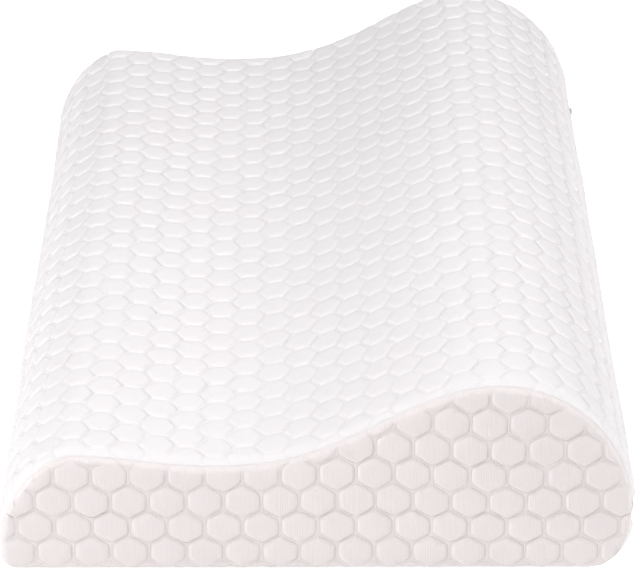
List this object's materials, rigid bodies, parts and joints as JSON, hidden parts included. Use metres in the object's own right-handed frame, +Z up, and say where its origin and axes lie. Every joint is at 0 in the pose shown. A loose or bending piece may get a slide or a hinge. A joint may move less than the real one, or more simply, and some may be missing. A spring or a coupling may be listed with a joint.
{
  "type": "bed pillow",
  "caption": "Contour bed pillow: moulded foam core with a low and a high lobe in a thin liner, inside a removable bubble-knit cover with a zip along its high long side.",
  "frame": {"origin": "on the floor under the middle of the pillow: the centre of the bounding box's bottom", "axes": "+Z up, +Y along the pillow's length away from the near short end, +X from the low lobe's long side to the high lobe's long side, where the zip is"},
  "size_m": [0.3016, 0.5, 0.1],
  "materials": {
    "cover_knit": "white knitted bubble fabric, matt with a soft sheen",
    "end_panel_knit": "the same white bubble knit, matt",
    "seam_thread": "overlocked polyester thread, matt",
    "liner_jersey": "thin off-white jersey, matt",
    "memory_foam": "moulded viscoelastic foam with a smooth skin, matt",
    "zip_tape": "woven white tape",
    "coil_nylon": "white nylon filament, satin",
    "slider_metal": "nickel-plated die-cast zinc, slightly worn"
  },
  "bodies": {
    "pillow": {"foam_core": "memory_foam", "liner_wrap": "liner_jersey", "liner_end_near": "liner_jersey", "liner_end_far": "liner_jersey", "cover_wrap": "cover_knit", "cover_end_near": "end_panel_knit", "cover_end_far": "end_panel_knit", "seam_allowance_near": "seam_thread", "seam_allowance_far": "seam_thread", "zip_tape_upper": "zip_tape", "zip_tape_lower": "zip_tape", "zip_coil_upper": "coil_nylon", "zip_coil_lower": "coil_nylon", "zip_bartack_near": "seam_thread", "zip_bartack_far": "seam_thread"},
    "slider": {"zip_slider": "slider_metal"},
    "pull": {"zip_pull": "slider_metal"}
  },
  "joints": [
    {"name": "zip_slide", "type": "slide", "parent": "pillow", "child": "slider", "axis": [0, -1, 0], "range_m": [0, 0.451]},
    {"name": "pull_flip", "type": "hinge", "parent": "slider", "child": "pull", "pos_m": [0.14883, 0.2255, 0.03], "axis": [0, 0, 1], "range_deg": [0, 170]}
  ]
}
